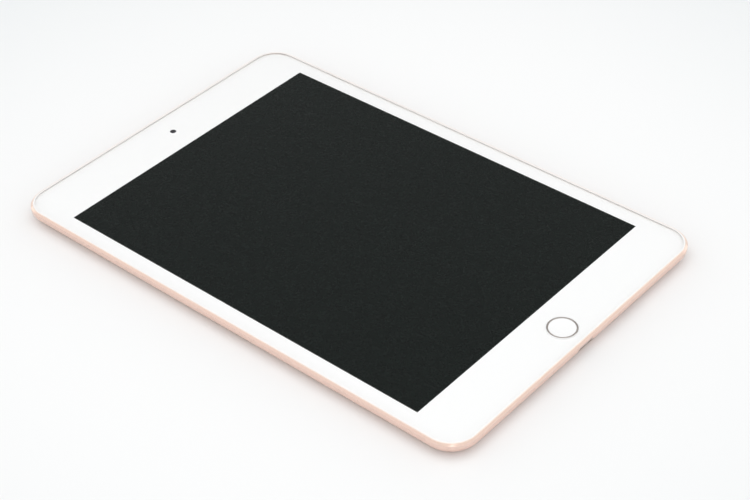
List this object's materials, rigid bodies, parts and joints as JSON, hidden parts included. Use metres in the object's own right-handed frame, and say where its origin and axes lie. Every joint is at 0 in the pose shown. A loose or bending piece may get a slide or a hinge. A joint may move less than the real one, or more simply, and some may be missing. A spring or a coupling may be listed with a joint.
{
  "type": "tablet computer",
  "caption": "Small slab tablet with a white glass front, round home button, rounded metal back, edge buttons, cameras, a headphone socket and a charging slot.",
  "frame": {"origin": "centre of the flat back face, which is the face it lies on", "axes": "X across the screen to the side with the volume buttons, Y along the screen to the front camera end, Z out of the screen"},
  "size_m": [0.1351, 0.2035, 0.0061],
  "materials": {
    "body_metal": "satin",
    "button_metal": "satin",
    "clear_glass": "gloss",
    "white_ink": "gloss",
    "dark_rubber": "matte",
    "screen_black": "gloss",
    "backlight_white": "satin",
    "flex_film": "satin",
    "button_white": "gloss",
    "ring_metal": "polished",
    "sensor_dark": "matte",
    "soft_white": "matte",
    "spring_steel": "satin",
    "camera_black": "satin",
    "lens_glass": "gloss",
    "cell_pouch": "matte",
    "adhesive_white": "matte",
    "wrap_black": "matte",
    "board_green": "satin",
    "plug_ivory": "satin",
    "graphite": "satin",
    "socket_white": "satin",
    "gold_plate": "satin",
    "mesh_dark": "matte",
    "antenna_copper": "satin",
    "magnet_nickel": "satin"
  },
  "bodies": {
    "body": {"rear_housing": "body_metal", "cover_glass": "clear_glass", "bezel_mask": "white_ink", "glass_gasket": "dark_rubber", "display_panel": "screen_black", "display_backlight": "backlight_white", "display_flex": "flex_film", "home_button_gasket": "soft_white", "home_button_bracket": "spring_steel", "home_button_dome": "spring_steel", "home_button_flex": "flex_film", "front_camera": "camera_black", "front_camera_bracket": "spring_steel", "front_camera_flex": "flex_film", "light_sensor": "sensor_dark", "battery_cell_left": "cell_pouch", "battery_cell_right": "cell_pouch", "battery_adhesive": "adhesive_white", "battery_board": "wrap_black", "battery_lead": "flex_film", "logic_board": "board_green", "board_shields": "spring_steel", "board_chips": "sensor_dark", "board_connectors": "plug_ivory", "board_screws": "spring_steel", "shield_pads": "dark_rubber", "graphite_sheet": "graphite", "rear_camera": "camera_black", "rear_camera_lens": "lens_glass", "rear_camera_trim": "ring_metal", "headphone_jack": "socket_white", "jack_contacts": "gold_plate", "jack_flex": "flex_film", "charging_port": "spring_steel", "port_contacts": "gold_plate", "port_flex": "flex_film", "speaker_left": "wrap_black", "speaker_right": "wrap_black", "speaker_meshes": "mesh_dark", "top_button_dome": "spring_steel", "top_button_bracket": "spring_steel", "top_button_flex": "flex_film", "volume_up_dome": "spring_steel", "volume_down_dome": "spring_steel", "volume_bracket": "spring_steel", "volume_flex": "flex_film", "antenna_left": "antenna_copper", "antenna_right": "antenna_copper", "microphones": "gold_plate", "cover_magnets": "magnet_nickel", "bracket_screws": "spring_steel"},
    "home_button": {"home_button_cap": "button_white", "home_button_ring": "ring_metal", "home_button_sensor": "sensor_dark"},
    "top_key": {"top_button": "button_metal"},
    "volume_up_key": {"volume_up_button": "button_metal"},
    "volume_down_key": {"volume_down_button": "button_metal"}
  },
  "joints": [
    {"name": "home_button_press", "type": "slide", "parent": "body", "child": "home_button", "axis": [0, 0, -1], "range_m": [0, 0.0002], "stiffness_N_per_m": 2000, "springref_m": -0.0003, "deforming": ["home_button_dome"]},
    {"name": "top_button_press", "type": "slide", "parent": "body", "child": "top_key", "axis": [0, -1, 0], "range_m": [0, 0.00025], "stiffness_N_per_m": 2000, "springref_m": -0.0003, "deforming": ["top_button_dome"]},
    {"name": "volume_up_press", "type": "slide", "parent": "body", "child": "volume_up_key", "axis": [-1, 0, 0], "range_m": [0, 0.00025], "stiffness_N_per_m": 2000, "springref_m": -0.0003, "deforming": ["volume_up_dome"]},
    {"name": "volume_down_press", "type": "slide", "parent": "body", "child": "volume_down_key", "axis": [-1, 0, 0], "range_m": [0, 0.00025], "stiffness_N_per_m": 2000, "springref_m": -0.0003, "deforming": ["volume_down_dome"]}
  ]
}
